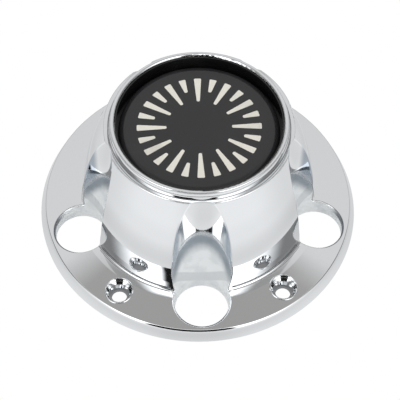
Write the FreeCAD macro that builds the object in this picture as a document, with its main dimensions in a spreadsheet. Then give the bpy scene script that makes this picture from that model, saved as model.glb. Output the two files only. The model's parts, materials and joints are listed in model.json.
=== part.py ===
import FreeCAD, Part
import Sketcher
import math
import os

# Wheel center cap: a hollow plated moulding with lug wells, and a black disc pressed into its top.
# Millimetres, +Z up, origin at the centre of the seating plane. One lug well faces -Y.

TOUCH = 0.001

# Bays between lug wells that hold a screw seat, counted from the first well, which faces -Y
SCREW_BAYS = (0, 2, 4)

doc = FreeCAD.newDocument("center_cap")
sheet = doc.addObject("Spreadsheet::Sheet", "dims")

SIZES = [
    # lug wells
    ("lug_count", 5),
    ("lug_circle", 139.7),
    ("lug_radius", 14.7),
    ("lug_land", 5.0),
    ("lug_draft", 8.2),
    ("slot_margin", 1.3),
    ("slot_setback", 4.35),
    ("crease_round", 2.5),
    ("well_wall", 2.6),
    ("rim_round", 1.0),
    # flange
    ("rim_land", 2.75),
    ("skirt_lean", 3.2),
    ("crest_height", 7.1),
    ("crest_round", 0.8),
    ("flange_rise", 2.2),
    # level ring round the foot of the tower
    ("foot_setback", 4.55),
    ("ring_width", 5.1),
    ("ring_rise", 0.3),
    ("ring_round", 2.5),
    ("foot_round", 1.2),
    # tower, with a swelling side
    ("cap_height", 79.0),
    ("tower_lean", 14.4),
    ("belly_lean", 0.4),
    ("belly_rise", 30.4),
    ("belly_round", 125.0),
    # double bead round the top
    ("neck_drop", 5.5),
    ("bead_overhang", 0.6),
    ("bead_step", 0.4),
    ("bead_rise", 1.1),
    ("bead_width", 2.6),
    ("bead_round", 0.7),
    ("groove_drop", 0.5),
    ("lip_lean", 1.3),
    ("lip_width", 2.2),
    ("lip_round", 0.6),
    ("lip_inner_round", 1.1),
    # recess for the insert
    ("recess_depth", 12.5),
    # walls of the moulding
    ("skirt_wall", 3.5),
    ("flange_wall", 3.2),
    ("tower_wall", 3.2),
    ("top_wall", 3.0),
    # countersunk screw seats, each midway between two lug wells
    ("screw_setout", 7.05),
    ("screw_hole_radius", 4.2),
    ("screw_land", 2.5),
    ("screw_seat_radius", 5.7),
    ("screw_seat_height", 5.4),
    ("screw_rim_radius", 7.6),
    ("screw_rim_height", 8.0),
    ("screw_boss_wall", 2.6),
    # insert
    ("insert_fit", 0.15),
    ("insert_rim_drop", 1.4),
    ("insert_rim_wall", 0.7),
    ("insert_floor", 1.4),
    ("moat_width", 0.9),
    ("pad_rise", 5.0),
    ("pad_shoulder", 4.4),
    # how far the cutting forms reach past the moulding
    ("overshoot", 3.0),
]

# Radii from the cap's axis, all set out from the lug circle
LUG_REACH = "(dims.lug_circle / 2)"
CREST_RADIUS = "(%s + dims.lug_radius + dims.rim_land)" % LUG_REACH
FLANGE_RADIUS = "(%s + dims.skirt_lean)" % CREST_RADIUS
FOOT_RADIUS = "(%s - dims.foot_setback)" % LUG_REACH
RING_RADIUS = "(%s + dims.ring_width)" % FOOT_RADIUS
BELLY_RADIUS = "(%s - dims.belly_lean)" % FOOT_RADIUS
NECK_RADIUS = "(%s - dims.tower_lean)" % FOOT_RADIUS
BEAD_RADIUS = "(%s + dims.bead_overhang)" % NECK_RADIUS
GROOVE_RADIUS = "(%s - dims.bead_width)" % BEAD_RADIUS
LIP_RADIUS = "(%s - dims.lip_lean)" % GROOVE_RADIUS
RECESS_RADIUS = "(%s - dims.lip_width)" % LIP_RADIUS
SLOT_REACH = "(%s - dims.slot_setback)" % LUG_REACH
SCREW_REACH = "(%s + dims.screw_setout)" % LUG_REACH

# Heights, set out from the seating plane or down from the top
RING_HEIGHT = "(dims.crest_height + dims.flange_rise)"
FOOT_HEIGHT = "(%s + dims.ring_rise)" % RING_HEIGHT
BELLY_HEIGHT = "(%s + dims.belly_rise)" % FOOT_HEIGHT
NECK_HEIGHT = "(dims.cap_height - dims.neck_drop)"
BEAD_BASE = "(%s + dims.bead_step)" % NECK_HEIGHT
BEAD_TOP = "(%s + dims.bead_rise)" % BEAD_BASE
GROOVE_HEIGHT = "(%s - dims.groove_drop)" % BEAD_TOP
RECESS_FLOOR = "(dims.cap_height - dims.recess_depth)"
HOLLOW_TOP = "(%s - dims.top_wall)" % RECESS_FLOOR

# Slopes of the flange's top, as rise per run, and of the tower's side above the belly, as run per rise
FLANGE_SLOPE = "(dims.flange_rise / (%s - %s))" % (CREST_RADIUS, RING_RADIUS)
UPPER_RUN = "((%s - %s) / (%s - %s))" % (BELLY_RADIUS, NECK_RADIUS, NECK_HEIGHT, BELLY_HEIGHT)


def write_sheet():
    for row, (alias, value) in enumerate(SIZES, start=1):
        sheet.set("A%d" % row, alias)
        sheet.set("B%d" % row, str(value))
        sheet.setAlias("B%d" % row, alias)
    doc.recompute()


def value(expression):
    result = sheet.evalExpression(expression)
    return float(getattr(result, "Value", result))


def bind(obj, **expressions):
    for prop, expression in expressions.items():
        obj.setExpression(prop, expression)


def origin_plane(body, role):
    for feature in body.Origin.OriginFeatures:
        if feature.Role == role:
            return feature


# A closed outline through corners given as (x, y, corner radius or None), all bound to the sheet.
def rounded_profile(sketch, corners):
    points = [FreeCAD.Vector(value(x), value(y), 0) for x, y, _ in corners]
    count = len(corners)
    marks = [add_corner_mark(sketch, corners[i], points[i]) for i in range(count)]
    ends = [corner_ends(points, i, corners[i][2]) for i in range(count)]
    lines = []
    for i in range(count):
        following = (i + 1) % count
        segment = Part.LineSegment(ends[i][1], ends[following][0])
        lines.append(sketch.addGeometry(segment, False))
    for i in range(count):
        before = lines[i - 1]
        after = lines[i]
        if corners[i][2] is None:
            sketch.addConstraint(Sketcher.Constraint("Coincident", before, 2, marks[i], 1))
            sketch.addConstraint(Sketcher.Constraint("Coincident", after, 1, marks[i], 1))
        else:
            add_corner_arc(sketch, points[i], ends[i], before, after, marks[i], corners[i][2])


def add_corner_mark(sketch, corner, point):
    x, y, _ = corner
    mark = sketch.addGeometry(Part.Point(point), True)
    for kind, axis, expression, size in (("DistanceX", -2, x, point.x), ("DistanceY", -1, y, point.y)):
        if expression == "0":
            sketch.addConstraint(Sketcher.Constraint("PointOnObject", mark, 1, axis))
        else:
            index = sketch.addConstraint(Sketcher.Constraint(kind, -1, 1, mark, 1, size))
            sketch.setExpression("Constraints[%d]" % index, expression)
    return mark


# Where the outline stops before a corner and starts again after it.
def corner_ends(points, i, round_expression):
    corner = points[i]
    if round_expression is None:
        return corner, corner
    to_before = (points[i - 1] - corner).normalize()
    to_after = (points[(i + 1) % len(points)] - corner).normalize()
    reach = value(round_expression) / math.tan(to_before.getAngle(to_after) / 2)
    return corner + to_before * reach, corner + to_after * reach


def add_corner_arc(sketch, corner, ends, before, after, mark, round_expression):
    radius = value(round_expression)
    inward = ((ends[0] - corner) + (ends[1] - corner)).normalize()
    half_chord = (ends[1] - ends[0]).Length / 2
    reach = (ends[0] - corner).Length
    middle = corner + inward * (reach * radius / half_chord - radius)
    arc = sketch.addGeometry(Part.Arc(ends[0], middle, ends[1]), False)
    start, stop = (1, 2) if arc_starts_at(sketch, arc, ends[0]) else (2, 1)
    sketch.addConstraint(Sketcher.Constraint("PointOnObject", mark, 1, before))
    sketch.addConstraint(Sketcher.Constraint("PointOnObject", mark, 1, after))
    sketch.addConstraint(Sketcher.Constraint("Tangent", before, 2, arc, start))
    sketch.addConstraint(Sketcher.Constraint("Tangent", after, 1, arc, stop))
    index = sketch.addConstraint(Sketcher.Constraint("Radius", arc, radius))
    sketch.setExpression("Constraints[%d]" % index, round_expression)


def arc_starts_at(sketch, arc, point):
    return (sketch.getPoint(arc, 1) - point).Length < (sketch.getPoint(arc, 2) - point).Length


def turned_body(name, corners):
    body = doc.addObject("PartDesign::Body", name)
    sketch = body.newObject("Sketcher::SketchObject", name + "_profile")
    sketch.AttachmentSupport = [(origin_plane(body, "XZ_Plane"), "")]
    sketch.MapMode = "FlatFace"
    rounded_profile(sketch, corners)
    turn = body.newObject("PartDesign::Revolution", name + "_turn")
    turn.Profile = sketch
    turn.ReferenceAxis = (sketch, ["V_Axis"])
    turn.Angle = 360
    body.Tip = turn
    doc.recompute()
    return body


write_sheet()

# Outer form of the moulding, solid, with the recess for the insert
outer_form = turned_body("outer_form", [
    ("0", "0", None),
    (FLANGE_RADIUS, "0", None),
    (CREST_RADIUS, "dims.crest_height", "dims.crest_round"),
    (RING_RADIUS, RING_HEIGHT, "dims.ring_round"),
    (FOOT_RADIUS, FOOT_HEIGHT, "dims.foot_round"),
    (BELLY_RADIUS, BELLY_HEIGHT, "dims.belly_round"),
    (NECK_RADIUS, NECK_HEIGHT, None),
    (BEAD_RADIUS, BEAD_BASE, None),
    (BEAD_RADIUS, BEAD_TOP, "dims.bead_round"),
    (GROOVE_RADIUS, GROOVE_HEIGHT, None),
    (LIP_RADIUS, "dims.cap_height", "dims.lip_round"),
    (RECESS_RADIUS, "dims.cap_height", "dims.lip_inner_round"),
    (RECESS_RADIUS, RECESS_FLOOR, None),
    ("0", RECESS_FLOOR, None),
])

# Inside of the moulding, before the wells and screw seats are left standing in it
hollow_form = turned_body("hollow_form", [
    ("0", "0", None),
    (FLANGE_RADIUS + " - dims.skirt_wall", "0", None),
    (CREST_RADIUS + " - dims.skirt_wall",
     "dims.crest_height + dims.skirt_wall * " + FLANGE_SLOPE + " - dims.flange_wall", None),
    (RING_RADIUS, RING_HEIGHT + " - dims.flange_wall", None),
    (FOOT_RADIUS + " - dims.tower_wall", FOOT_HEIGHT + " - dims.flange_wall", None),
    (BELLY_RADIUS + " - dims.tower_wall", BELLY_HEIGHT, "dims.belly_round"),
    (NECK_RADIUS + " - dims.tower_wall + (" + NECK_HEIGHT + " - " + HOLLOW_TOP + ") * " + UPPER_RUN,
     HOLLOW_TOP, None),
    ("0", HOLLOW_TOP, None),
])


# A lug well: a drafted round well inside an upright slot that opens outwards, grown by a wall's thickness
def lug_form(index, name, grow):
    angle = "(-90 + %d * 360 / dims.lug_count)" % index
    radius = "(dims.lug_radius + %s)" % grow
    half_width = "(%s + dims.slot_margin)" % radius
    reach = "dims.cap_height + dims.overshoot"
    land = doc.addObject("Part::Cylinder", name + "_land")
    bind(land, Radius=radius, Height="dims.lug_land + dims.overshoot")
    flare = doc.addObject("Part::Cone", name + "_flare")
    bind(flare, Radius1=radius, Height=reach + " - dims.lug_land",
         Radius2=radius + " + (" + reach + " - dims.lug_land) * tan(dims.lug_draft)")
    well = doc.addObject("Part::Fuse", name + "_well")
    well.Base = land
    well.Tool = flare
    arch = doc.addObject("Part::Cylinder", name + "_arch")
    bind(arch, Radius=half_width, Height=reach + " + dims.overshoot")
    mouth = doc.addObject("Part::Box", name + "_mouth")
    bind(mouth, Length=FLANGE_RADIUS + " + dims.overshoot - " + SLOT_REACH,
         Width="2 * " + half_width, Height=reach + " + dims.overshoot")
    slot = doc.addObject("Part::Fuse", name + "_slot")
    slot.Base = arch
    slot.Tool = mouth
    form = doc.addObject("Part::Common", name)
    form.Base = well
    form.Tool = slot
    for piece, x, y, z in (
        (land, LUG_REACH, "0", "-dims.overshoot"),
        (flare, LUG_REACH, "0", "dims.lug_land"),
        (arch, SLOT_REACH, "0", "-dims.overshoot"),
        (mouth, SLOT_REACH, "-" + half_width, "-dims.overshoot"),
    ):
        piece.setExpression("Placement.Base.x", x)
        piece.setExpression("Placement.Base.y", y)
        piece.setExpression("Placement.Base.z", z)
    form.Placement.Rotation = FreeCAD.Rotation(FreeCAD.Vector(0, 0, 1), 0)
    form.setExpression("Placement.Rotation.Angle", angle)
    return form


# A round piece on the screw circle, midway between two lug wells
def on_screw_circle(piece, bay, z):
    angle = "(-90 + (%d + 0.5) * 360 / dims.lug_count)" % bay
    piece.setExpression("Placement.Base.x", "%s * cos(%s)" % (SCREW_REACH, angle))
    piece.setExpression("Placement.Base.y", "%s * sin(%s)" % (SCREW_REACH, angle))
    piece.setExpression("Placement.Base.z", z)


def screw_cut(bay):
    hole = doc.addObject("Part::Cylinder", "screw_hole_%d" % bay)
    bind(hole, Radius="dims.screw_hole_radius", Height=FOOT_HEIGHT + " + 2 * dims.overshoot")
    on_screw_circle(hole, bay, "-dims.overshoot")
    sink = doc.addObject("Part::Cone", "screw_sink_%d" % bay)
    bind(sink, Radius1="dims.screw_hole_radius", Radius2="dims.screw_seat_radius",
         Height="dims.screw_seat_height - dims.screw_land")
    on_screw_circle(sink, bay, "dims.screw_land")
    dish = doc.addObject("Part::Cone", "screw_dish_%d" % bay)
    bind(dish, Radius1="dims.screw_seat_radius", Radius2="dims.screw_rim_radius",
         Height="dims.screw_rim_height - dims.screw_seat_height")
    on_screw_circle(dish, bay, "dims.screw_seat_height")
    rim = doc.addObject("Part::Cylinder", "screw_rim_%d" % bay)
    bind(rim, Radius="dims.screw_rim_radius", Height=FOOT_HEIGHT)
    on_screw_circle(rim, bay, "dims.screw_rim_height")
    return joined("screw_cut_%d" % bay, [hole, sink, dish, rim])


def screw_boss(bay):
    boss = doc.addObject("Part::Cylinder", "screw_boss_%d" % bay)
    bind(boss, Radius="dims.screw_seat_radius + dims.screw_boss_wall",
         Height=FOOT_HEIGHT + " + dims.overshoot")
    on_screw_circle(boss, bay, "-dims.overshoot")
    return boss


def joined(name, pieces):
    group = doc.addObject("Part::MultiFuse", name)
    group.Shapes = pieces
    return group


def cut_away(name, base, tool):
    cut = doc.addObject("Part::Cut", name)
    cut.Base = base
    cut.Tool = tool
    return cut


# Rounds every edge of a form that passes the test, by one radius from the sheet
def rounded(name, base, radius, passes):
    fillet = doc.addObject("Part::Fillet", name)
    fillet.Base = base
    size = value(radius)
    numbered = enumerate(base.Shape.Edges, start=1)
    fillet.Edges = [(index, size, size) for index, edge in numbered if passes(edge)]
    return fillet


def is_free_curve(edge):
    return edge.Curve.TypeId == "Part::GeomBSplineCurve"


# True for the rim of a lug well on the flange and the tower, up to the bead
def is_well_rim(edge):
    if not is_free_curve(edge) or edge.BoundBox.ZMax > value(NECK_HEIGHT) + TOUCH:
        return False
    middle = edge.valueAt((edge.FirstParameter + edge.LastParameter) / 2)
    return Part.Vertex(middle).distToShape(outer_form.Shape.Shells[0])[0] < TOUCH


def soft_lug_cut(index):
    form = lug_form(index, "lug_cut_%d" % index, "0")
    doc.recompute()
    return rounded("soft_lug_cut_%d" % index, form, "dims.crease_round", is_free_curve)


lugs = range(int(value("dims.lug_count")))
lug_cuts = joined("lug_cuts", [soft_lug_cut(i) for i in lugs])
wells = joined("wells", [lug_form(i, "lug_well_%d" % i, "dims.well_wall") for i in lugs])
screw_cuts = joined("screw_cuts", [screw_cut(bay) for bay in SCREW_BAYS])
bosses = joined("bosses", [screw_boss(bay) for bay in SCREW_BAYS])
doc.recompute()

pocketed = cut_away("pocketed", outer_form, lug_cuts)
doc.recompute()
soft_outer = rounded("soft_outer", pocketed, "dims.rim_round", is_well_rim)
drilled = cut_away("drilled", soft_outer, screw_cuts)
standing = joined("standing", [wells, bosses])
hollow = cut_away("hollow", hollow_form, standing)
cap_shell = cut_away("cap_shell", drilled, hollow)

# Black disc pressed into the recess: a round-shouldered pad inside an upturned rim
insert_radius = RECESS_RADIUS + " - dims.insert_fit"
insert_inner = insert_radius + " - dims.insert_rim_wall"
insert_rim = "dims.cap_height - dims.insert_rim_drop"
pad_radius = insert_inner + " - dims.moat_width"
moat_floor = RECESS_FLOOR + " + dims.insert_floor"
pad_top = moat_floor + " + dims.pad_rise"
center_insert = turned_body("center_insert", [
    ("0", RECESS_FLOOR, None),
    (insert_radius, RECESS_FLOOR, None),
    (insert_radius, insert_rim, None),
    (insert_inner, insert_rim, None),
    (insert_inner, moat_floor, None),
    (pad_radius, moat_floor, None),
    (pad_radius, pad_top, "dims.pad_shoulder"),
    ("0", pad_top, None),
])
doc.recompute()

for obj in doc.Objects:
    if "Invalid" in obj.State or "Error" in obj.State:
        raise RuntimeError("%s did not build" % obj.Name)

os.makedirs("parts", exist_ok=True)
for piece in (cap_shell, center_insert):
    piece.Label = piece.Name
    shape = piece.Shape
    if shape.isNull() or not shape.isValid() or len(shape.Solids) != 1:
        raise RuntimeError("%s is not one sound solid" % piece.Label)
    shape.Solids[0].exportStep("parts/%s.step" % piece.Label)
    print(piece.Label, "%.0f mm3" % shape.Volume, shape.BoundBox)
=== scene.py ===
import json
import math

import bmesh
import bpy
from mathutils import Matrix, Quaternion, Vector

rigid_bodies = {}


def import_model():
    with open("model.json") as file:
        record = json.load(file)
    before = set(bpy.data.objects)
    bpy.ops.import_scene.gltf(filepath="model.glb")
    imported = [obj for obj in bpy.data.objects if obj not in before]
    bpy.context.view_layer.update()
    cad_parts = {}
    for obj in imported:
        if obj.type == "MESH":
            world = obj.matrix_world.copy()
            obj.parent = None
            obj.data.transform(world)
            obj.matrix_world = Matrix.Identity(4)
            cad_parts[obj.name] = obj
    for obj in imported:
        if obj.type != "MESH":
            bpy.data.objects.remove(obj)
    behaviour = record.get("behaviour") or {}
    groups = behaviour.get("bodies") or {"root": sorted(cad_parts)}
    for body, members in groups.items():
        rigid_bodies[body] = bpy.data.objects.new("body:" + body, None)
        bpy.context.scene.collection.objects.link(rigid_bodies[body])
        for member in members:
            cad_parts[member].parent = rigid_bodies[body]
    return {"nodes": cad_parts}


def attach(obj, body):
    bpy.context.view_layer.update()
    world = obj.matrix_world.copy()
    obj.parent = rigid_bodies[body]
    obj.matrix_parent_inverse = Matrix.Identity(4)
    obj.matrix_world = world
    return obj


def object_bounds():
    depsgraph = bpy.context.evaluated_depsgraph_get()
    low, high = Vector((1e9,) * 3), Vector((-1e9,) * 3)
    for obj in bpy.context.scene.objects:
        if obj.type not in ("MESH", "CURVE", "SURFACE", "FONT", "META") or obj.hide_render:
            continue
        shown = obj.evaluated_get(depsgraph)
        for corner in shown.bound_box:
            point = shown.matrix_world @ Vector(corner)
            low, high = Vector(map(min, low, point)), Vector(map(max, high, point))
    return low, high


for spare in list(bpy.data.objects):
    bpy.data.objects.remove(spare)

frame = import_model()
cadLow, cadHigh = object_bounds()
print("frame loaded:", sorted(frame["nodes"]))

mm = 0.001


# small helpers for node trees

class Tree:
    def __init__(self, tree):
        self.tree = tree
        self.count = 0

    def node(self, kind, **settings):
        made = self.tree.nodes.new(kind)
        made.location = (220 * (self.count % 8), -180 * (self.count // 8))
        self.count += 1
        for name, setting in settings.items():
            setattr(made, name, setting)
        return made

    def plug(self, source, socket):
        if hasattr(source, "is_output"):
            self.tree.links.new(source, socket)
        else:
            socket.default_value = source

    def math(self, operation, *sources, clamp=False):
        made = self.node("ShaderNodeMath", operation=operation, use_clamp=clamp)
        for source, socket in zip(sources, made.inputs):
            self.plug(source, socket)
        return made.outputs[0]

    def times(self, first, *others):
        for other in others:
            first = self.math("MULTIPLY", first, other)
        return first

    # length of the vector that has these two parts
    def length(self, first, second):
        square = self.math("MULTIPLY_ADD", first, first, self.times(second, second))
        return self.math("POWER", square, 0.5)

    # angle round the axis from a side given in degrees, in radians
    def awayFrom(self, x, y, side):
        angle = self.math("SUBTRACT", self.math("ARCTAN2", y, x), math.radians(side))
        return self.math("ABSOLUTE", self.math("WRAP", angle, math.pi, -math.pi))

    # 0 at low, 1 at high, eased between; low may be the greater
    def ease(self, source, low, high):
        made = self.node("ShaderNodeMapRange", interpolation_type="SMOOTHSTEP")
        self.plug(source, made.inputs["Value"])
        self.plug(low, made.inputs["From Min"])
        self.plug(high, made.inputs["From Max"])
        return made.outputs["Result"]

    # value goes from start to end as mask goes from 0 to 1
    def between(self, mask, start, end):
        made = self.node("ShaderNodeMapRange")
        self.plug(mask, made.inputs["Value"])
        self.plug(start, made.inputs["To Min"])
        self.plug(end, made.inputs["To Max"])
        return made.outputs["Result"]

    def mixColour(self, mask, first, second):
        made = self.node("ShaderNodeMix", data_type="RGBA")
        self.plug(mask, made.inputs["Factor"])
        self.plug(first, made.inputs["A"])
        self.plug(second, made.inputs["B"])
        return made.outputs["Result"]

    def noise(self, coords, scale, detail):
        made = self.node("ShaderNodeTexNoise")
        self.plug(coords, made.inputs["Vector"])
        self.plug(scale, made.inputs["Scale"])
        self.plug(detail, made.inputs["Detail"])
        return made.outputs["Fac"]

    def split(self, vector):
        made = self.node("ShaderNodeSeparateXYZ")
        self.plug(vector, made.inputs[0])
        return made.outputs["X"], made.outputs["Y"], made.outputs["Z"]

    def group(self, group, **sources):
        made = self.node("ShaderNodeGroup", node_tree=group)
        for label, source in sources.items():
            self.plug(source, made.inputs[label.replace("_", " ")])
        return made.outputs

    def objectPosition(self):
        return self.node("ShaderNodeTexCoord").outputs["Object"]

    def cameraRay(self):
        return self.node("ShaderNodeLightPath").outputs["Is Camera Ray"]


def grey(level, blue=1.0):
    return (level, level * (1 + blue) / 2, level * blue, 1.0)


def newMaterial(name):
    material = bpy.data.materials.new(name)
    material.use_nodes = True
    material.node_tree.nodes.clear()
    tree = Tree(material.node_tree)
    shader = tree.node("ShaderNodeBsdfPrincipled")
    output = tree.node("ShaderNodeOutputMaterial")
    tree.plug(shader.outputs[0], output.inputs["Surface"])
    return material, tree, shader


def newGroup(name, inputs, outputs):
    group = bpy.data.node_groups.new(name, "ShaderNodeTree")
    for label, kind in inputs:
        group.interface.new_socket(name=label, in_out="INPUT", socket_type=kind)
    for label in outputs:
        group.interface.new_socket(name=label, in_out="OUTPUT", socket_type="NodeSocketFloat")
    tree = Tree(group)
    return group, tree, tree.node("NodeGroupInput").outputs, tree.node("NodeGroupOutput").inputs


def toObject(bm, name, material):
    mesh = bpy.data.meshes.new(name)
    bm.to_mesh(mesh)
    bm.free()
    mesh.materials.append(material)
    made = bpy.data.objects.new(name, mesh)
    bpy.context.scene.collection.objects.link(made)
    return made


# moulded skin: faint waviness, fine grain and handling marks, shared by all the finishes

skinSettings = {
    "waveDetail": 1.0,
    "grainDetail": 3.0,
    "smudgeSize": 38.0,
    "smudgeDetail": 5.0,
    "smudgeStart": 0.5,
    "smudgeFull": 0.74,
}


def makeSkinGroup():
    s = skinSettings
    group, tree, given, out = newGroup(
        "mouldedSkin",
        [("Position", "NodeSocketVector"), ("Wave Size", "NodeSocketFloat"),
         ("Grain Size", "NodeSocketFloat"), ("Grain", "NodeSocketFloat")],
        ["Height", "Marks"])
    wave = tree.noise(given["Position"], given["Wave Size"], s["waveDetail"])
    grain = tree.noise(given["Position"], given["Grain Size"], s["grainDetail"])
    tree.plug(tree.math("MULTIPLY_ADD", grain, given["Grain"], wave), out["Height"])
    smudge = tree.noise(given["Position"], s["smudgeSize"], s["smudgeDetail"])
    tree.plug(tree.ease(smudge, s["smudgeStart"], s["smudgeFull"]), out["Marks"])
    return group


# masks of the lug wells: the drafted wall, the painted shade under its arch, the slot's walls (painted
# lighter) and their sides (painted dimmer), a band low on the wall and the painted shade round the mouth
# in the flange

wellSettings = {
    "count": 5,
    "firstSide": -90.0,  # degrees round from +X
    "circleRadius": 69.85 * mm,
    "radius": 14.7 * mm,
    "land": 5.0 * mm,
    "draft": 8.2,  # degrees
    "softness": 0.5 * mm,
    "slotReach": 65.5 * mm,
    "slotHalfWidth": 16.0 * mm,
    "slotOutside": -0.2 * mm,  # the drafted wall fades out from slotInside to here, measured from the slot
    "slotInside": 0.3 * mm,
    "slotSkin": 0.2 * mm,  # what counts as the slot's own wall
    "slotFade": 0.45 * mm,
    "towerReach": 65.8 * mm,
    "towerTop": 72.8 * mm,
    "towerFade": 0.5 * mm,
    "creaseBand": 2.1 * mm,  # how far inside the slot the shade under the arch reaches
    "shadeLow": 12.0 * mm,  # the shades on the walls fade out downwards
    "shadeHigh": 25.0 * mm,
    "sideStart": 11.0 * mm,  # the slot's sides, from its middle
    "sideFull": 13.5 * mm,
    "bandLow": 4.6 * mm,  # faint darker band low in the wells, rising to the sides
    "bandHigh": 13.2 * mm,
    "bandFade": 1.5 * mm,
    "bandBend": 50.0,
    "mouthWidth": 1.0 * mm,  # shade round the outer half of a well's mouth in the flange
    "mouthStart": 5.0 * mm,
    "mouthFull": 11.0 * mm,
    "mouthLow": 5.2 * mm,
    "mouthFade": 0.5 * mm,
}


def makeWellGroup():
    s = wellSettings
    group, tree, given, out = newGroup(
        "wellWall", [("Position", "NodeSocketVector")],
        ["Mask", "Crease", "Slot Wall", "Slot Side", "Band", "Mouth"])
    x, y, z = tree.split(given["Position"])

    # the wells folded onto one: along runs outwards from its middle, across runs sideways
    sector = 2 * math.pi / s["count"]
    angle = tree.math("SUBTRACT", tree.math("ARCTAN2", y, x), math.radians(s["firstSide"]))
    folded = tree.math("WRAP", angle, sector / 2, -sector / 2)
    reach = tree.length(x, y)
    outwards = tree.times(reach, tree.math("COSINE", folded))
    along = tree.math("SUBTRACT", outwards, s["circleRadius"])
    across = tree.times(reach, tree.math("SINE", folded))

    rise = tree.math("MAXIMUM", tree.math("SUBTRACT", z, s["land"]), 0.0)
    wall = tree.math("MULTIPLY_ADD", rise, math.tan(math.radians(s["draft"])), s["radius"])
    away = tree.math("ABSOLUTE", tree.math("SUBTRACT", tree.length(along, across), wall))
    onWall = tree.ease(away, s["softness"], s["softness"] / 4)

    # the upright slot round the well bounds the drafted wall
    behind = tree.math("MINIMUM", tree.math("ADD", along, s["circleRadius"] - s["slotReach"]), 0.0)
    inset = tree.math("SUBTRACT", s["slotHalfWidth"], tree.length(behind, across))
    mask = tree.times(onWall, tree.ease(inset, s["slotOutside"], s["slotInside"]))
    tree.plug(mask, out["Mask"])

    upper = tree.ease(z, s["shadeLow"], s["shadeHigh"])
    crease = tree.ease(inset, s["creaseBand"], s["creaseBand"] / 3)
    tree.plug(tree.times(crease, upper), out["Crease"])

    onSlot = tree.ease(tree.math("ABSOLUTE", inset), s["slotFade"], s["slotSkin"])
    inTower = tree.ease(reach, s["towerReach"] + s["towerFade"], s["towerReach"])
    belowTop = tree.ease(z, s["towerTop"] + s["towerFade"], s["towerTop"])
    slotWall = tree.times(onSlot, inTower, belowTop, tree.math("SUBTRACT", 1.0, mask))
    tree.plug(slotWall, out["Slot Wall"])
    toSide = tree.ease(tree.math("ABSOLUTE", across), s["sideStart"], s["sideFull"])
    tree.plug(tree.times(slotWall, upper, toSide), out["Slot Side"])

    bent = tree.math("MULTIPLY_ADD", tree.times(across, across), -s["bandBend"], z)
    bandUp = tree.ease(bent, s["bandLow"], s["bandLow"] + s["bandFade"])
    bandDown = tree.ease(bent, s["bandHigh"], s["bandHigh"] - s["bandFade"])
    tree.plug(tree.times(bandUp, bandDown), out["Band"])

    outerHalf = tree.ease(along, s["mouthStart"], s["mouthFull"])
    aboveLand = tree.ease(z, s["mouthLow"], s["mouthLow"] + s["mouthFade"])
    atMouth = tree.ease(away, s["mouthWidth"], s["mouthWidth"] / 2)
    tree.plug(tree.times(outerHalf, aboveLand, atMouth), out["Mouth"])
    return group


skinGroup = makeSkinGroup()
wellGroup = makeWellGroup()


# the shared skin at a finish's own sizes
def addSkin(tree, position, s):
    return tree.group(skinGroup, Position=position, Wave_Size=s["waveSize"],
                      Grain_Size=s["grainSize"], Grain=s["grain"])


def addBump(tree, shader, height, distance):
    bump = tree.node("ShaderNodeBump")
    bump.inputs["Distance"].default_value = distance
    tree.plug(height, bump.inputs["Height"])
    tree.plug(bump.outputs[0], shader.inputs["Normal"])
    return bump


# bright plating, dulled on the drafted walls of the lug wells, with painted shade under the wells' arches
# and round their mouths, a painted highlight on the slots' walls and a painted dim reflection on their
# sides

platingSettings = {
    "bright": (0.84, 0.855, 0.87, 1.0),
    # painted dim reflection: the polished sides of the slots greyer and bluer
    "slotSideDimReflection": (0.45, 0.50, 0.56, 1.0),
    # painted highlight: the slots' polished walls lighter than the rest of the plating
    "slotWallHighlight": (0.95, 0.965, 0.98, 1.0),
    "mouthShade": (0.17, 0.18, 0.20, 1.0),
    "satin": (0.95, 0.975, 0.985, 1.0),
    # painted shade under the arches of the wells
    "satinCreaseShade": (0.30, 0.345, 0.385, 1.0),
    "satinBand": (0.74, 0.77, 0.785, 1.0),
    "satinCloud": (0.83, 0.865, 0.88, 1.0),
    "satinMetal": 0.35,
    "brightRoughness": 0.035,
    "markRoughness": 0.07,
    "satinRoughness": 0.32,
    "hazeSize": 210.0,  # unevenness of the dulling
    "hazeDetail": 4.0,
    "hazeLow": 0.85,
    "hazeHigh": 1.1,
    "cloudSize": 120.0,
    "cloudDetail": 3.0,
    "cloudStart": 0.45,
    "cloudFull": 0.65,
    "slotLean": 0.084,  # slope of the slot's walls in what they mirror
    "crestLean": 0.2,  # soft turn from the skirt to the flange
    "crestReach": 86.6 * mm,
    "crestFade": 0.3 * mm,
    "crestLow": 4.4 * mm,
    "crestHigh": 7.1 * mm,
    "waveSize": 55.0,
    "waveHeight": 0.012 * mm,
    "grainSize": 1400.0,
    "grain": 0.004,
}


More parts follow.
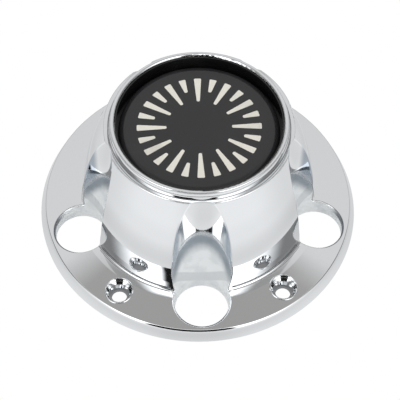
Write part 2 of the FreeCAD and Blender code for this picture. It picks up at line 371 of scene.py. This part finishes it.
def makePlating():
    s = platingSettings
    material, tree, shader = newMaterial("brightPlating")
    position = tree.objectPosition()
    skin = addSkin(tree, position, s)
    well = tree.group(wellGroup, Position=position)

    haze = tree.between(tree.noise(position, s["hazeSize"], s["hazeDetail"]), s["hazeLow"], s["hazeHigh"])
    satinMask = tree.math("MULTIPLY", well["Mask"], haze, clamp=True)
    clouds = tree.noise(position, s["cloudSize"], s["cloudDetail"])
    cloudMask = tree.ease(clouds, s["cloudStart"], s["cloudFull"])
    clouded = tree.mixColour(cloudMask, s["satin"], s["satinCloud"])
    banded = tree.mixColour(well["Band"], clouded, s["satinBand"])
    # painted shade under the wells' arches
    satin = tree.mixColour(well["Crease"], banded, s["satinCreaseShade"])
    # painted highlight on the slots' walls
    backed = tree.mixColour(well["Slot Wall"], s["bright"], s["slotWallHighlight"])
    # painted dim reflection on the slots' sides
    bright = tree.mixColour(well["Slot Side"], backed, s["slotSideDimReflection"])
    finish = tree.mixColour(satinMask, bright, satin)
    tree.plug(tree.mixColour(well["Mouth"], finish, s["mouthShade"]), shader.inputs["Base Color"])
    tree.plug(tree.between(satinMask, 1.0, s["satinMetal"]), shader.inputs["Metallic"])
    polished = tree.between(skin["Marks"], s["brightRoughness"], s["markRoughness"])
    tree.plug(tree.between(satinMask, polished, s["satinRoughness"]), shader.inputs["Roughness"])

    # the slots' walls and the skirt's crest lean upwards
    x, y, z = tree.split(position)
    onSkirt = tree.ease(tree.length(x, y), s["crestReach"], s["crestReach"] + s["crestFade"])
    nearCrest = tree.times(onSkirt, tree.ease(z, s["crestLow"], s["crestHigh"]))
    slotLean = tree.times(well["Slot Wall"], s["slotLean"])
    lean = tree.node("ShaderNodeCombineXYZ")
    tree.plug(tree.math("MULTIPLY_ADD", nearCrest, s["crestLean"], slotLean), lean.inputs["Z"])
    leaning = tree.node("ShaderNodeVectorMath", operation="ADD")
    tree.plug(tree.node("ShaderNodeNewGeometry").outputs["Normal"], leaning.inputs[0])
    tree.plug(lean.outputs[0], leaning.inputs[1])
    leaned = tree.node("ShaderNodeVectorMath", operation="NORMALIZE")
    tree.plug(leaning.outputs[0], leaned.inputs[0])
    bump = addBump(tree, shader, skin["Height"], s["waveHeight"])
    tree.plug(leaned.outputs[0], bump.inputs["Normal"])
    return material


# gloss black moulding, with a satin charcoal face on its pad

insertSettings = {
    "black": (0.006, 0.006, 0.0065, 1.0),
    "charcoal": (0.016, 0.016, 0.0175, 1.0),
    "dust": grey(0.03, 1.02),
    "dustShare": 0.25,
    "glossRoughness": 0.07,
    "satinRoughness": 0.22,
    "markRoughness": 0.27,
    "padEdge": 43.5 * mm,
    "edgeBlend": 0.3 * mm,
    "padTop": 72.9 * mm,
    "waveSize": 90.0,
    "grainSize": 2600.0,
    "grain": 0.25,
    "grainHeight": 0.01 * mm,
}


def makeInsertBlack():
    s = insertSettings
    material, tree, shader = newMaterial("glossBlack")
    position = tree.objectPosition()
    skin = addSkin(tree, position, s)
    x, y, z = tree.split(position)
    face = tree.ease(tree.length(x, y), s["padEdge"] + s["edgeBlend"], s["padEdge"])
    colour = tree.mixColour(face, s["black"], s["charcoal"])
    dusty = tree.mixColour(tree.times(skin["Marks"], s["dustShare"]), colour, s["dust"])
    tree.plug(dusty, shader.inputs["Base Color"])
    satin = tree.between(skin["Marks"], s["satinRoughness"], s["markRoughness"])
    tree.plug(tree.between(face, s["glossRoughness"], satin), shader.inputs["Roughness"])
    addBump(tree, shader, skin["Height"], s["grainHeight"])
    return material


# ivory ink of the print

inkSettings = {
    "ivory": (0.64, 0.62, 0.56, 1.0),
    # worn ivory where the skin's marks fall
    "markedTone": (0.50, 0.485, 0.44, 1.0),
    "roughness": 0.32,
    "wornRoughness": 0.42,
    "waveSize": 120.0,
    "grainSize": 3000.0,
    "grain": 0.4,
    "grainHeight": 0.008 * mm,
}


def makeInk():
    s = inkSettings
    material, tree, shader = newMaterial("ivoryInk")
    skin = addSkin(tree, tree.objectPosition(), s)
    tree.plug(tree.mixColour(skin["Marks"], s["ivory"], s["markedTone"]), shader.inputs["Base Color"])
    roughness = tree.between(skin["Marks"], s["roughness"], s["wornRoughness"])
    tree.plug(roughness, shader.inputs["Roughness"])
    addBump(tree, shader, skin["Height"], s["grainHeight"])
    return material


plating = makePlating()
insertBlack = makeInsertBlack()
ink = makeInk()
frame["nodes"]["cap_shell"].material_slots[0].material = plating
frame["nodes"]["center_insert"].material_slots[0].material = insertBlack
print("finishes ready")


# printed rays on the pad: tapered dashes, long and short in turn

rayPrintSettings = {
    "count": 24,
    "outer": 33.5 * mm,
    "longInner": 17.5 * mm,
    "shortInner": 24.5 * mm,
    "outerWidth": 4.0 * mm,
    "innerWidth": 1.7 * mm,
    "thick": 0.06 * mm,
    "sunk": 0.02 * mm,
    "cornerRound": 0.7 * mm,
    "cornerSegments": 5,
}


def addRay(bm, angle, inner):
    s = rayPrintSettings
    length = s["outer"] - inner
    verts = bmesh.ops.create_cube(bm, size=1.0)["verts"]
    base = insertSettings["padTop"] - s["sunk"]
    for vert in verts:
        width = s["outerWidth"] if vert.co.x > 0 else s["innerWidth"]
        vert.co = Vector((inner + (vert.co.x + 0.5) * length, vert.co.y * width,
                          base + (vert.co.z + 0.5) * (s["thick"] + s["sunk"])))
    upright = [e for e in {e for v in verts for e in v.link_edges}
               if abs(e.verts[0].co.z - e.verts[1].co.z) > s["thick"] / 2]
    bevelled = bmesh.ops.bevel(bm, geom=upright, offset=s["cornerRound"], affect="EDGES",
                               segments=s["cornerSegments"], profile=0.5, material=-1)
    ray = {v for f in bevelled["faces"] for v in f.verts}
    bmesh.ops.rotate(bm, verts=list(ray), cent=(0, 0, 0), matrix=Matrix.Rotation(angle, 3, "Z"))


def makeRayPrint():
    s = rayPrintSettings
    bm = bmesh.new()
    for index in range(s["count"]):
        inner = s["shortInner"] if index % 2 else s["longInner"]
        addRay(bm, 2 * math.pi * index / s["count"], inner)
    bmesh.ops.recalc_face_normals(bm, faces=bm.faces)
    piece = toObject(bm, "rayPrint", ink)
    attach(piece, "root")


makeRayPrint()
print("print on the pad ready")


# fine lines of painted shade, dull and dark, in the moulding's inner corners: at the tower's foot, under
# its bead and round its lip

shadeLineSettings = {
    "shadeLines": [  # reach, height, thickness, degrees kept clear each side of a well's middle
        (65.42 * mm, 10.85 * mm, 0.2 * mm, 15.2),
        (66.55 * mm, 9.68 * mm, 0.2 * mm, 15.2),
        (50.95 * mm, 73.55 * mm, 0.3 * mm, 8.5),
        (48.95 * mm, 74.55 * mm, 0.4 * mm, 0.0),
        (48.27 * mm, 76.7 * mm, 0.3 * mm, 0.0),
        (47.72 * mm, 78.35 * mm, 0.25 * mm, 0.0),
    ],
    "sides": 8,
    "stepAngle": 1.5,  # degrees
    # painted shade of the lines, and a paler tone of it where the skin's marks fall
    "shade": (0.36, 0.365, 0.37, 1.0),
    "markedTone": (0.48, 0.485, 0.49, 1.0),
    "roughness": 0.25,
    "waveSize": 120.0,
    "grainSize": 1800.0,
    "grain": 0.2,
}

# rounded rims of the screw seats, lying in the slope of the flange, and lines of painted shade on the
# steps inside them

seatSettings = {
    "sides": (-54.0, 90.0, 234.0),  # degrees round from +X
    "reach": 76.9 * mm,
    "height": 8.46 * mm,
    "slope": 7.4,  # degrees
    "rimRadius": 7.55 * mm,
    "rimThick": 0.7 * mm,
    "lines": [  # reach, height, thickness
        (6.95 * mm, 7.1 * mm, 0.3 * mm),
        (5.65 * mm, 5.4 * mm, 0.3 * mm),
    ],
    "stepAngle": 6.0,  # degrees
}


def makeShadeLineMaterial():
    s = shadeLineSettings
    material, tree, shader = newMaterial("cornerShadeLine")
    skin = addSkin(tree, tree.objectPosition(), s)
    tree.plug(tree.mixColour(skin["Marks"], s["shade"], s["markedTone"]), shader.inputs["Base Color"])
    shader.inputs["Metallic"].default_value = 1.0
    shader.inputs["Roughness"].default_value = s["roughness"]
    return material


# one length of tube round the axis of place, from its X axis through swing degrees
def addTube(bm, place, reach, thick, swing, stepAngle):
    s = shadeLineSettings
    start = place @ Matrix.Translation((reach, 0, 0)) @ Matrix.Rotation(math.pi / 2, 4, "X")
    ring = bmesh.ops.create_circle(bm, segments=s["sides"], radius=thick / 2, matrix=start)
    firstEdges = list({e for v in ring["verts"] for e in v.link_edges})
    whole = swing == 360
    swept = bmesh.ops.spin(bm, geom=ring["verts"] + firstEdges, cent=place.translation,
                           axis=place.to_3x3() @ Vector((0, 0, 1)), angle=math.radians(swing),
                           steps=round(swing / stepAngle), use_merge=whole)
    if not whole:
        lastEdges = [g for g in swept["geom_last"] if isinstance(g, bmesh.types.BMEdge)]
        bmesh.ops.holes_fill(bm, edges=firstEdges + lastEdges, sides=s["sides"])


def turnedTo(degrees, reach, height):
    return Matrix.Rotation(math.radians(degrees), 4, "Z") @ Matrix.Translation((reach, 0, height))


def finishTubes(bm, name, material):
    bmesh.ops.recalc_face_normals(bm, faces=bm.faces)
    for face in bm.faces:
        face.smooth = len(face.verts) == 4
    piece = toObject(bm, name, material)
    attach(piece, "root")


def makeSeatRims():
    s = seatSettings
    bm = bmesh.new()
    tilt = Matrix.Rotation(math.radians(s["slope"]), 4, "Y")
    for side in s["sides"]:
        place = turnedTo(side, s["reach"], s["height"]) @ tilt
        addTube(bm, place, s["rimRadius"], s["rimThick"], 360, s["stepAngle"])
    finishTubes(bm, "seatRims", plating)


def makeShadeLines():
    s = shadeLineSettings
    seat = seatSettings
    bm = bmesh.new()
    sector = 360 / wellSettings["count"]
    for reach, height, thick, clear in s["shadeLines"]:
        if clear == 0:
            addTube(bm, turnedTo(0, 0, height), reach, thick, 360, s["stepAngle"])
            continue
        for bay in range(wellSettings["count"]):
            place = turnedTo(wellSettings["firstSide"] + bay * sector + clear, 0, height)
            addTube(bm, place, reach, thick, sector - 2 * clear, s["stepAngle"])
    for side in seat["sides"]:
        for reach, height, thick in seat["lines"]:
            addTube(bm, turnedTo(side, seat["reach"], height), reach, thick, 360, seat["stepAngle"])
    finishTubes(bm, "shadeLines", makeShadeLineMaterial())


makeSeatRims()
makeShadeLines()
print("seams ready")


# plain pale floor: white to the camera; in what the plating mirrors, painted shade near the cap, towards
# the camera's side and off to the sides and back, and a painted shadow under the bays beside the front
# well

floorSettings = {
    "radius": 6.0,
    "segments": 96,
    "drop": 0.1 * mm,
    "white": 1.0,
    # metres from the axis, brightness
    "levels": [(0.084, 0.70), (0.09, 0.84), (0.105, 0.76), (0.16, 0.90), (0.30, 0.95)],
    "sideLevel": 0.86,
    "sideStart": 45.0,  # degrees from the camera's side
    "sideFull": 85.0,
    "frontLevel": 0.90,
    "frontFull": 6.0,
    "frontEnd": 24.0,
    # painted shadow under the bays beside the front well, in metres from the axis and degrees from that
    # well
    "underShadowLevel": 0.34,
    "underNear": 0.069,
    "underFar": 0.086,
    "underSide": 36.0,
    "underHalfWidth": 9.0,
    "tint": 1.01,
}


def makeFloorMaterial():
    s = floorSettings
    material, tree, shader = newMaterial("paleFloor")
    x, y, z = tree.split(tree.objectPosition())
    reach = tree.length(x, y)
    level = s["levels"][0][1]
    for (near, _), (far, brightness) in zip(s["levels"], s["levels"][1:]):
        level = tree.between(tree.ease(reach, near, far), level, brightness)
    off = tree.awayFrom(x, y, studioSettings["cameraSide"])
    side = tree.ease(off, math.radians(s["sideStart"]), math.radians(s["sideFull"]))
    front = tree.ease(off, math.radians(s["frontEnd"]), math.radians(s["frontFull"]))
    shades = tree.times(tree.between(side, 1.0, s["sideLevel"]), tree.between(front, 1.0, s["frontLevel"]))
    offWell = tree.awayFrom(x, y, wellSettings["firstSide"])
    offBay = tree.math("ABSOLUTE", tree.math("SUBTRACT", offWell, math.radians(s["underSide"])))
    underShadow = tree.times(tree.math("LESS_THAN", offBay, math.radians(s["underHalfWidth"])),
                       tree.math("GREATER_THAN", reach, s["underNear"]),
                       tree.math("LESS_THAN", reach, s["underFar"]))
    mirrored = tree.times(level, tree.between(underShadow, shades, s["underShadowLevel"]))
    shown = tree.cameraRay()
    shader.inputs["Base Color"].default_value = grey(0.0)
    shader.inputs["Roughness"].default_value = 1.0
    shader.inputs["Specular IOR Level"].default_value = 0.0
    tree.plug(tree.mixColour(shown, grey(1.0, s["tint"]), grey(1.0)), shader.inputs["Emission Color"])
    tree.plug(tree.between(shown, mirrored, s["white"]), shader.inputs["Emission Strength"])
    return material


def makeFloor():
    s = floorSettings
    bm = bmesh.new()
    bmesh.ops.create_circle(bm, cap_ends=True, segments=s["segments"], radius=s["radius"])
    floor = toObject(bm, "studioFloor", makeFloorMaterial())
    floor.location.z = cadLow.z - s["drop"]


# soft studio: pale panels all round, greyer overhead, a dark card on the camera's side
# and bright panels beside it

studioSettings = {
    "backdrop": 1.0,
    "levels": [  # sine of the height above the horizon, brightness, blueness
        (-0.05, 0.60, 1.0), (0.0, 0.30, 1.0), (0.30, 0.42, 1.0), (0.55, 0.72, 1.0), (0.865, 0.74, 1.0),
        (0.905, 0.40, 0.96), (1.0, 0.38, 0.96)],
    "cameraSide": -92.6,  # degrees round from +X
    "shadeSide": -95.6,
    "shadeHalfWidth": 26.0,
    "shadeEdge": 3.0,
    "shadeLow": -0.08,
    "shadeHigh": 0.90,
    "shadeFade": 0.08,
    "shadeLevel": 0.015,
    "panelOuter": 64.0,  # degrees from the camera's side
    "panelEdge": 20.0,
    "panelHigh": 0.955,
    "panelFade": 0.02,
    "panelLevel": 1.9,
    "sideOuter": 120.0,  # darker beside the bright panels, in degrees from the camera's side
    "sideEdge": 10.0,
    "sideHigh": 0.84,
    "sideFade": 0.06,
    "sideLevel": 0.26,
}


# 1 within these degrees of a side, 0 outside, with a soft edge
def within(tree, off, degrees, edge):
    return tree.ease(off, math.radians(degrees + edge), math.radians(degrees - edge))


def makeStudio():
    s = studioSettings
    world = bpy.data.worlds.new("softStudio")
    bpy.context.scene.world = world
    world.use_nodes = True
    world.node_tree.nodes.clear()
    tree = Tree(world.node_tree)
    x, y, z = tree.split(tree.node("ShaderNodeTexCoord").outputs["Generated"])
    ramp = tree.node("ShaderNodeValToRGB")
    stops = ramp.color_ramp.elements
    for index, (height, level, blue) in enumerate(s["levels"]):
        place = (height + 1) / 2
        stop = stops[index] if index < 2 else stops.new(place)
        stop.position = place
        stop.color = grey(level, blue)
    tree.plug(tree.math("MULTIPLY_ADD", z, 0.5, 0.5), ramp.inputs[0])

    off = tree.awayFrom(x, y, s["cameraSide"])
    side = tree.times(within(tree, off, s["sideOuter"], s["sideEdge"]),
                      tree.ease(z, s["sideHigh"], s["sideHigh"] - s["sideFade"]))
    dimmed = tree.mixColour(side, ramp.outputs[0], grey(s["sideLevel"]))
    panel = tree.times(within(tree, off, s["panelOuter"], s["panelEdge"]),
                       tree.ease(z, s["panelHigh"], s["panelHigh"] - s["panelFade"]))
    lit = tree.mixColour(panel, dimmed, grey(s["panelLevel"]))
    offShade = tree.awayFrom(x, y, s["shadeSide"])
    shade = tree.times(within(tree, offShade, s["shadeHalfWidth"], s["shadeEdge"]),
                       tree.ease(z, s["shadeLow"], s["shadeLow"] + s["shadeFade"]),
                       tree.ease(z, s["shadeHigh"], s["shadeHigh"] - s["shadeFade"]))
    shaded = tree.mixColour(shade, lit, grey(s["shadeLevel"]))
    seen = tree.mixColour(tree.cameraRay(), shaded, grey(s["backdrop"]))
    background = tree.node("ShaderNodeBackground")
    tree.plug(seen, background.inputs["Color"])
    output = tree.node("ShaderNodeOutputWorld")
    tree.plug(background.outputs[0], output.inputs["Surface"])


# broad soft light from above for the print and the pad, which the plating doesn't mirror

topLightSettings = {
    "size": 1.4,
    "height": 1.5,
    "power": 12.0,
}


def makeTopLight():
    s = topLightSettings
    data = bpy.data.lights.new("topLight", "AREA")
    data.size = s["size"]
    data.energy = s["power"]
    light = bpy.data.objects.new("topLight", data)
    bpy.context.scene.collection.objects.link(light)
    light.location.z = s["height"]
    light.visible_glossy = False


makeFloor()
makeStudio()
makeTopLight()
print("studio ready")


# camera at the photograph's angle

cameraSettings = {
    "place": (-0.0197, -0.4333, 0.6325),
    "target": (0.0012, 0.0, 0.0040),
    "roll": 1.21,  # degrees
    "lens": 118.9,
    "sensor": 36.0,
}


def makeCamera():
    s = cameraSettings
    data = bpy.data.cameras.new("photoCamera")
    data.lens = s["lens"]
    data.sensor_width = s["sensor"]
    camera = bpy.data.objects.new("photoCamera", data)
    bpy.context.scene.collection.objects.link(camera)
    place = Vector(s["place"])
    aim = (Vector(s["target"]) - place).to_track_quat("-Z", "Y")
    camera.rotation_mode = "QUATERNION"
    camera.rotation_quaternion = aim @ Quaternion((0, 0, 1), math.radians(s["roll"]))
    camera.location = place
    bpy.context.scene.camera = camera
    bpy.context.scene.view_settings.view_transform = "Standard"


makeCamera()
print("camera ready")

bpy.context.view_layer.update()
